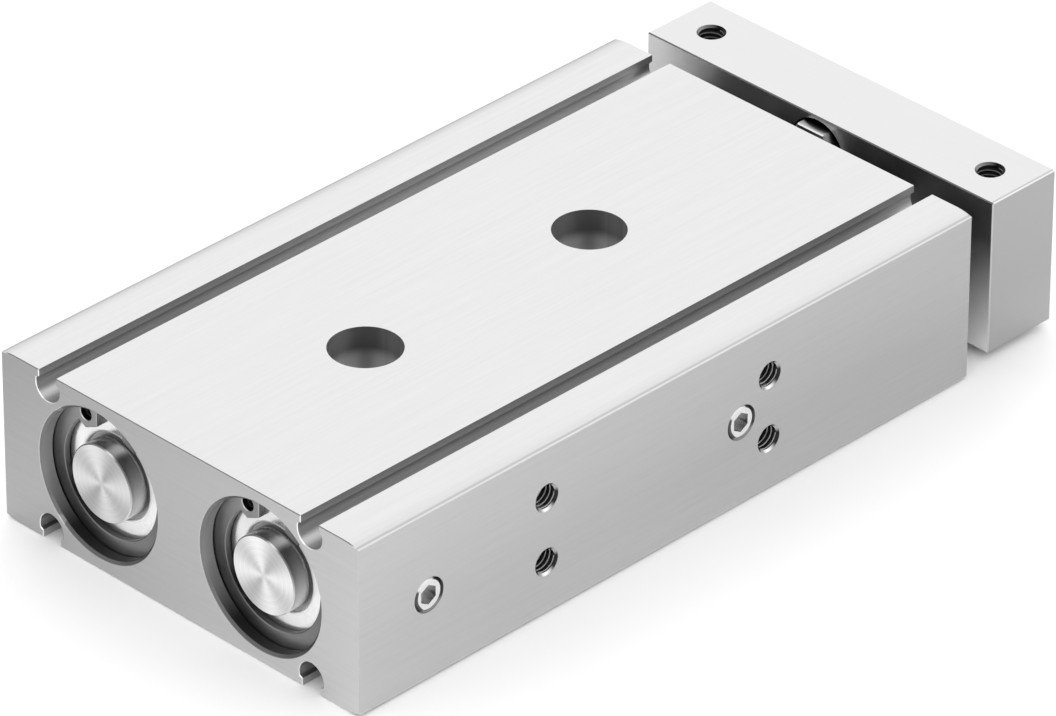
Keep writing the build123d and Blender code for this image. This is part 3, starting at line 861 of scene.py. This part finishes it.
@dataclass(frozen=True)
class PaleFloor(Finish):
    """Plain pale floor."""

    def pattern(self, sheet: Sheet) -> Sockets:
        """Nothing but a barely uneven gloss."""
        x, y, z = sheet.place()
        return {"Roughness": self.roughness + 0.02 * sheet.noise(x * 0.01, y * 0.01, z)}


@dataclass
class Bench:
    """The loaded solids, and what is put on them."""

    nodes: dict[str, bpy.types.Object]

    def dress(self, names: tuple[str, ...], finish: Finish) -> None:
        """Give solids a finish.

        Args:
            names: Names of the solids.
            finish: The finish that they share.
        """
        material = finish.material()
        for name in names:
            mesh = self.nodes[name].data
            mesh.materials.clear()
            mesh.materials.append(material)
            log.info("dressed %s in %s", name, finish.title)

    def seat(
        self, piece: bpy.types.Object, body: Body, slot: str, material: bpy.types.Material
    ) -> None:
        """Put a new piece on a body.

        Args:
            piece: The finished piece, in its place.
            body: The body that carries it.
            slot: The material slot that it belongs to; not used.
            material: Its material.
        """
        piece.data.materials.clear()
        piece.data.materials.append(material)
        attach(piece, body.value)
        log.info("seated %s on %s", piece.name, body.value)


def deselect() -> None:
    """Leave edit mode and select nothing."""
    if bpy.context.object and bpy.context.object.mode != "OBJECT":
        bpy.ops.object.mode_set(mode="OBJECT")
    bpy.ops.object.select_all(action="DESELECT")


def pick(piece: bpy.types.Object, *others: bpy.types.Object) -> None:
    """Select pieces.

    Args:
        piece: The active one.
        others: More pieces to select with it.
    """
    deselect()
    for one in (piece, *others):
        one.select_set(True)
    bpy.context.view_layer.objects.active = piece


def apply_place() -> None:
    """Move the active piece's place into its mesh."""
    bpy.ops.object.transform_apply(location=True, rotation=True, scale=True)


def face_outward() -> None:
    """Turn all faces of the piece outward and leave edit mode."""
    bpy.ops.mesh.select_all(action="SELECT")
    bpy.ops.mesh.normals_make_consistent(inside=False)
    bpy.ops.object.mode_set(mode="OBJECT")


@dataclass(frozen=True)
class Thread:
    """A right-hand screw thread of one size, modelled upright with its start at z = 0."""

    pitch: float
    wall: float
    crest: float
    length: float
    steps: int = 36
    root_share: float = 0.8
    crest_share: float = 0.12
    mouth_depth: float = 0.3
    mouth_gap: float = 0.15
    face_gap: float = 0.004

    def ridge(self, name: str, start: float) -> bpy.types.Object:
        """Model the ridge, which runs down from its start as a closed body.

        Args:
            name: Name of the piece.
            start: Height of the middle of its first turn.

        Returns:
            The ridge.
        """
        deselect()
        bpy.ops.mesh.primitive_plane_add(size=1.0, rotation=(math.pi / 2, 0.0, 0.0))
        piece = bpy.context.object
        piece.name = name
        piece.scale = (abs(self.wall - self.crest) * MM, self.pitch * self.root_share * MM, 1.0)
        piece.location = ((self.wall + self.crest) / 2 * MM, 0.0, start * MM)
        apply_place()
        middle = (self.wall + self.crest) / 2 * MM
        inward = self.crest < self.wall
        for vertex in piece.data.vertices:
            vertex.select = (vertex.co.x < middle) == inward
        bpy.ops.object.mode_set(mode="EDIT")
        bpy.ops.mesh.select_mode(type="VERT")
        bpy.ops.transform.resize(value=(1.0, 1.0, self.crest_share / self.root_share))
        bpy.ops.mesh.select_all(action="SELECT")
        bpy.ops.mesh.delete(type="ONLY_FACE")
        bpy.ops.object.mode_set(mode="OBJECT")
        turns = max(1, round((self.length - abs(start)) / self.pitch - 0.5))
        screw = piece.modifiers.new("thread", "SCREW")
        screw.axis = "Z"
        screw.angle = -FULL_TURN
        screw.screw_offset = -self.pitch * MM
        screw.iterations = turns
        screw.steps = self.steps
        screw.render_steps = self.steps
        screw.use_merge_vertices = False
        bpy.ops.object.modifier_apply(modifier="thread")
        bpy.ops.object.mode_set(mode="EDIT")
        bpy.ops.mesh.select_all(action="DESELECT")
        bpy.ops.mesh.select_non_manifold()
        bpy.ops.mesh.fill_holes(sides=4)
        face_outward()
        return piece

    def lead_in(self, name: str) -> bpy.types.Object:
        """Model the conical mouth of a tapped hole as a closed ring.

        Args:
            name: Name of the piece.

        Returns:
            The ring.
        """
        deselect()
        place = (0.0, 0.0, -self.face_gap * MM)
        bpy.ops.mesh.primitive_circle_add(vertices=CORNERS, radius=self.wall * MM, location=place)
        ring = bpy.context.object
        ring.name = name
        apply_place()
        bpy.ops.object.mode_set(mode="EDIT")
        bpy.ops.mesh.select_mode(type="EDGE")
        bpy.ops.mesh.select_all(action="SELECT")
        down = {"value": (0.0, 0.0, -self.mouth_depth * MM)}
        bpy.ops.mesh.extrude_edges_move(TRANSFORM_OT_translate=down)
        bpy.ops.mesh.extrude_edges_move(TRANSFORM_OT_translate={"value": (0.0, 0.0, 0.0)})
        share = self.crest / self.wall
        bpy.ops.transform.resize(value=(share, share, 1.0))
        bpy.ops.mesh.select_all(action="DESELECT")
        bpy.ops.mesh.select_non_manifold()
        bpy.ops.mesh.bridge_edge_loops()
        face_outward()
        return ring

    def lining(self, name: str) -> bpy.types.Object:
        """Model the lining of a tapped hole.

        Args:
            name: Name of the piece.

        Returns:
            The ridge and the mouth, joined.
        """
        ridge = self.ridge(name, -self.mouth_depth - self.mouth_gap)
        ring = self.lead_in(name + "_mouth")
        self.mark(ridge, False)
        self.mark(ring, True)
        pick(ridge, ring)
        bpy.ops.object.join()
        bpy.ops.object.shade_smooth_by_angle(angle=SMOOTH_ANGLE)
        return ridge

    def mark(self, piece: bpy.types.Object, is_mouth: bool) -> None:
        """Store on each vertex how far up from root to crest it lies.

        Args:
            piece: A ridge or a mouth, upright on the Z axis.
            is_mouth: Whether it is a mouth, all of which gets the mark of mouths.
        """
        marks = piece.data.attributes.new(HEIGHT, "FLOAT", "POINT")
        for vertex, mark in zip(piece.data.vertices, marks.data):
            radius = math.hypot(vertex.co.x, vertex.co.y) / MM
            height = (self.wall - radius) / (self.wall - self.crest)
            mark.value = MOUTH if is_mouth else height


def copy_to(master: bpy.types.Object, name: str, mouth: Point, outward: Point) -> bpy.types.Object:
    """Copy an upright piece to a hole.

    Args:
        master: The piece to copy, with its mouth at the origin and opening along +Z.
        name: Name of the copy.
        mouth: Middle of the hole's mouth in millimetres.
        outward: Direction in which the hole opens.

    Returns:
        The copy, with its own mesh and its place in it.
    """
    piece = bpy.data.objects.new(name, master.data.copy())
    bpy.context.scene.collection.objects.link(piece)
    turn = Vector((0.0, 0.0, 1.0)).rotation_difference(Vector(outward)).to_matrix().to_4x4()
    piece.data.transform(Matrix.Translation(Vector(mouth) * MM) @ turn)
    return piece


@dataclass
class Housing:
    """The extruded housing with its tapped holes, ports and plugs."""

    bench: Bench
    rows: Pair = HOLE_ROWS
    spacing: float = 9.5
    side: float = 32.0
    middle: float = AXIS_HEIGHT
    ports: Pair = PORT_ROWS
    metal: Finish = DrawnAluminium("drawn_aluminium", (0.47, 0.47, 0.47), 1.0, 0.34)
    thread_metal: Finish = CutThread(
        "cut_thread", (0.85, 0.85, 0.85), 1.0, 0.25, faint_glint=(-0.79, 0.0, -0.62)
    )
    plug_metal: Finish = PlugMetal("bright_plated_steel", (0.72, 0.72, 0.72), 1.0, 0.2)
    side_thread: Thread = Thread(0.7, 2.03, 1.66, 6.0)
    port_thread: Thread = Thread(0.8, 2.53, 2.1, 5.5)

    def dress(self) -> None:
        """Finish the housing and its plugs."""
        self.bench.dress(("housing",), self.metal)
        self.bench.dress(("port_plugs",), self.plug_metal)

    def build_threads(self) -> None:
        """Line the tapped holes of both sides and the two open ports."""
        material = self.thread_metal.material()
        screw_hole = self.side_thread.lining("side_thread")
        for side_name, sign in (("left", 1.0), ("right", -1.0)):
            for row, x in enumerate(self.rows, 1):
                for level, rise in (("low", -0.5), ("high", 0.5)):
                    mouth = (x, sign * self.side, self.middle + rise * self.spacing)
                    name = f"side_thread_{side_name}_{row}_{level}"
                    piece = copy_to(screw_hole, name, mouth, (0.0, sign, 0.0))
                    self.bench.seat(piece, Body.HOUSING, "housing_aluminium", material)
        port = self.port_thread.lining("port_thread")
        for name, x in zip(("port_thread_rear", "port_thread_front"), self.ports):
            piece = copy_to(port, name, (x, self.side, self.middle), (0.0, 1.0, 0.0))
            self.bench.seat(piece, Body.HOUSING, "housing_aluminium", material)
        bpy.data.objects.remove(screw_hole)
        bpy.data.objects.remove(port)


@dataclass
class RearEnd:
    """End caps, retaining rings and stops behind the pistons, and the same in front."""

    bench: Bench
    cap_colour: Colour = (0.96, 0.96, 0.96)
    ring: Finish = SpringSteel("spring_steel", (0.17, 0.17, 0.172), 1.0, 0.34)
    seal: Finish = Rubber("seal_rubber", (0.022, 0.022, 0.023), 0.0, 0.55)
    bumper: Finish = Rubber("bumper_rubber", (0.05, 0.05, 0.052), 0.0, 0.62)

    def dress(self) -> None:
        """Finish the pieces in both bores."""
        for bore in Bore:
            side = bore.name.lower()
            cap = TurnedCap(f"turned_cap_{side}", self.cap_colour, 1.0, 0.2, bore.value)
            self.bench.dress((f"end_cap_{side}",), cap)
            cover = TurnedMetal(f"turned_cover_{side}", (0.6, 0.602, 0.605), 1.0, 0.3, bore.value)
            self.bench.dress((f"rod_cover_{side}", f"piston_{side}"), cover)
        sides = [bore.name.lower() for bore in Bore]
        for finish, kinds, others in (
            (self.ring, ("rear_retaining_ring", "front_retaining_ring", "seal_retainer"), ()),
            (self.seal, ("end_cap_o_ring", "rod_cover_o_ring", "rod_seal", "piston_seal"), ()),
            (self.bumper, ("end_bumper", "cover_bumper"), ("stop_bumper",)),
        ):
            names = tuple(f"{kind}_{side}" for kind in kinds for side in sides)
            self.bench.dress(names + others, finish)


@dataclass
class PlateAndRods:
    """The front plate with its threads, the rods and the screws."""

    bench: Bench
    thread_middle: float = 66.1
    front: float = 72.1
    reach: float = 25.0
    middle: float = AXIS_HEIGHT
    half_height: float = 11.4
    metal: Finish = SatinAluminium("satin_aluminium", (0.46, 0.46, 0.46), 1.0, 0.32)
    # Painted shade: the plate's threads are a darker copy of the cut thread, with darker roots and
    # mouth.
    thread_metal: Finish = CutThread(
        "cut_plate_thread", (0.3, 0.3, 0.3), 1.0, 0.3, root=0.1, mouth=0.5, glint=(0.0, -1.0, 0.3)
    )
    rod: Finish = HardMetal("ground_chrome", (0.5, 0.501, 0.506), 1.0, 0.12, hoops=True)
    magnet: Finish = HardMetal("sintered_magnet", (0.1, 0.1, 0.105), 0.3, 0.55, speckle=0.15)
    nut: Finish = NutMetal("plated_nut", (0.5, 0.5, 0.502), 1.0, 0.3)
    screw: Finish = HardMetal("plated_screw", STEEL, 1.0, 0.28)
    thread: Thread = Thread(0.7, 2.03, 1.66, 7.0)

    def dress(self) -> None:
        """Finish the plate, the rods, the magnets, the nut and the screws."""
        self.bench.dress(("front_plate",), self.metal)
        self.bench.dress(("piston_rod_left", "piston_rod_right"), self.rod)
        self.bench.dress(("magnet_left", "magnet_right"), self.magnet)
        self.bench.dress(("stop_nut",), self.nut)
        self.bench.dress(("rod_screws", "stop_screw"), self.screw)

    def build_threads(self) -> None:
        """Line the tapped holes of the plate's top, bottom and front."""
        material = self.thread_metal.material()
        lining = self.thread.lining("plate_thread")
        for side_name, y in (("left", self.reach), ("right", -self.reach)):
            top = (self.thread_middle, y, self.middle + self.half_height)
            bottom = (self.thread_middle, y, self.middle - self.half_height)
            front = (self.front, y, self.middle)
            mouths = {
                "top": (top, (0.0, 0.0, 1.0)),
                "bottom": (bottom, (0.0, 0.0, -1.0)),
                "front": (front, (1.0, 0.0, 0.0)),
            }
            for place, (mouth, outward) in mouths.items():
                piece = copy_to(lining, f"plate_thread_{place}_{side_name}", mouth, outward)
                self.bench.seat(piece, Body.PLATE, "plate_aluminium", material)
        bpy.data.objects.remove(lining)


@dataclass
class StopScrew:
    """The set screw that stops the plate, with its thread and its hexagon socket."""

    bench: Bench
    front: float = 68.2
    height: float = 18.55
    length: float = 11.6
    core_radius: float = 2.04
    edge: float = 0.35
    edge_gap: float = 0.3
    edge_angle: float = 60.0
    socket_width: float = 2.5
    socket_depth: float = 3.0
    stem_radius: float = 1.3
    stem_depth: float = 2.6
    stem_corners: int = 48
    metal: Finish = HardMetal("plated_set_screw", STEEL, 1.0, 0.28)
    thread: Thread = Thread(0.8, 2.03, 2.46, 11.2)

    def build(self) -> None:
        """Build the threaded screw and put it in the place of the plain one."""
        core = self.core()
        ridge = self.thread.ridge("stop_screw_ridge", -self.edge - self.edge_gap)
        pick(core, ridge)
        bpy.ops.object.join()
        bpy.ops.object.shade_smooth_by_angle(angle=SMOOTH_ANGLE)
        place = (self.front, 0.0, self.height)
        screw = copy_to(core, "stop_screw_threaded", place, (1.0, 0.0, 0.0))
        bpy.data.objects.remove(core)
        self.bench.seat(screw, Body.STOP, "screw_steel", self.metal.material())
        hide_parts("stop_screw")

    def core(self) -> bpy.types.Object:
        """Model the core, upright with its front end at z = 0.

        Returns:
            The core with broken edges, the socket in front and the hole for the stem behind.
        """
        deselect()
        place = (0.0, 0.0, -self.length / 2 * MM)
        bpy.ops.mesh.primitive_cylinder_add(
            vertices=CORNERS, radius=self.core_radius * MM, depth=self.length * MM, location=place
        )
        core = bpy.context.object
        apply_place()
        bevel = core.modifiers.new("edge", "BEVEL")
        bevel.limit_method = "ANGLE"
        bevel.angle_limit = math.radians(self.edge_angle)
        bevel.width = self.edge * MM
        bevel.segments = 1
        bpy.ops.object.modifier_apply(modifier="edge")
        self.cut(core, 6, self.socket_width / math.sqrt(3.0), self.socket_depth, 0.0)
        self.cut(core, self.stem_corners, self.stem_radius, self.stem_depth, -self.length)
        return core

    def cut(
        self, core: bpy.types.Object, corners: int, radius: float, depth: float, rise: float
    ) -> None:
        """Cut a round or many-sided hole into an end of the core.

        Args:
            core: The core.
            corners: How many corners the hole has.
            radius: Distance of the corners from the axis.
            depth: Depth of the hole.
            rise: Height of the end that it is cut into.
        """
        deselect()
        place = (0.0, 0.0, rise * MM)
        bpy.ops.mesh.primitive_cylinder_add(
            vertices=corners, radius=radius * MM, depth=2.0 * depth * MM, location=place
        )
        tool = bpy.context.object
        apply_place()
        pick(core)
        hole = core.modifiers.new("hole", "BOOLEAN")
        hole.operation = "DIFFERENCE"
        hole.solver = "EXACT"
        hole.object = tool
        bpy.ops.object.modifier_apply(modifier="hole")
        bpy.data.objects.remove(tool)


@dataclass
class Studio:
    """Pale floor, even studio light and the camera."""

    target: Point = (5.0, 0.0, AXIS_HEIGHT)
    turn: float = 44.707
    tilt: float = 32.240
    roll: float = 0.188
    distance: float = 1166.7
    shift_right: float = 1.00
    shift_up: float = -1.14
    lens: float = 311.36
    sensor: float = 36.0
    clip: Pair = (0.05, 50.0)
    floor_size: float = 8000.0
    floor_drop: float = 0.02
    floor: Finish = PaleFloor("pale_floor", (0.85, 0.85, 0.85), 0.0, 0.6)
    low_light: float = 0.75
    band_light: float = 1.9
    top_light: float = 0.85

    def build(self) -> None:
        """Build the whole studio."""
        self.build_floor()
        self.build_light()
        self.build_camera()

    def build_floor(self) -> None:
        """Lay the floor just under the housing."""
        deselect()
        place = (0.0, 0.0, -self.floor_drop * MM)
        bpy.ops.mesh.primitive_plane_add(size=self.floor_size * MM, location=place)
        floor = bpy.context.object
        floor.name = "floor"
        apply_place()
        floor.data.materials.append(self.floor.material())

    def build_light(self) -> None:
        """Make a dome of light that is brightest a third of the way up."""
        world = bpy.context.scene.world or bpy.data.worlds.new("studio")
        bpy.context.scene.world = world
        world.use_nodes = True
        world.node_tree.nodes.clear()
        sheet = Sheet(world.node_tree)
        rise = sheet.split(sheet.add("ShaderNodeTexCoord", output="Generated"))[2]
        band = sheet.fade(rise, 0.08, 0.4) * sheet.fade(rise, 0.95, 0.72)
        top = sheet.fade(rise, 0.4, 0.9)
        level = sheet.blend(top, self.low_light, self.top_light)
        strength = level + (self.band_light - level) * band
        inputs = {"Color": (1.0, 1.0, 1.0, 1.0), "Strength": strength}
        shine = sheet.add("ShaderNodeBackground", inputs=inputs)
        sheet.lead_to("ShaderNodeOutputWorld", shine)

    def build_camera(self) -> None:
        """Set the camera at the reference view."""
        turn, tilt, roll = (math.radians(angle) for angle in (self.turn, self.tilt, self.roll))
        level = math.cos(tilt)
        ahead = Vector((level * math.cos(turn), level * math.sin(turn), -math.sin(tilt)))
        right = ahead.cross(Vector((0.0, 0.0, 1.0))).normalized()
        up = right.cross(ahead)
        across = math.cos(roll) * right + math.sin(roll) * up
        above = -math.sin(roll) * right + math.cos(roll) * up
        place = Vector(self.target) - ahead * self.distance
        place += across * self.shift_right + above * self.shift_up
        data = bpy.data.cameras.new("camera")
        data.sensor_width = self.sensor
        data.lens = self.lens
        data.clip_start, data.clip_end = self.clip
        camera = bpy.data.objects.new("camera", data)
        bpy.context.scene.collection.objects.link(camera)
        turned = Matrix((across, above, -ahead)).transposed().to_4x4()
        camera.matrix_world = Matrix.Translation(place * MM) @ turned
        bpy.context.scene.camera = camera


def main() -> None:
    """Load the solids, dress them, add the fine pieces and set up the studio."""
    logging.basicConfig(level=logging.INFO, format="%(message)s")
    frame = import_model()
    bench = Bench(frame["nodes"])
    bpy.context.scene.view_settings.view_transform = "Standard"
    for assembly in (Housing(bench), PlateAndRods(bench)):
        assembly.dress()
        assembly.build_threads()
    StopScrew(bench).build()
    RearEnd(bench).dress()
    Studio().build()


if __name__ == "__main__":
    main()
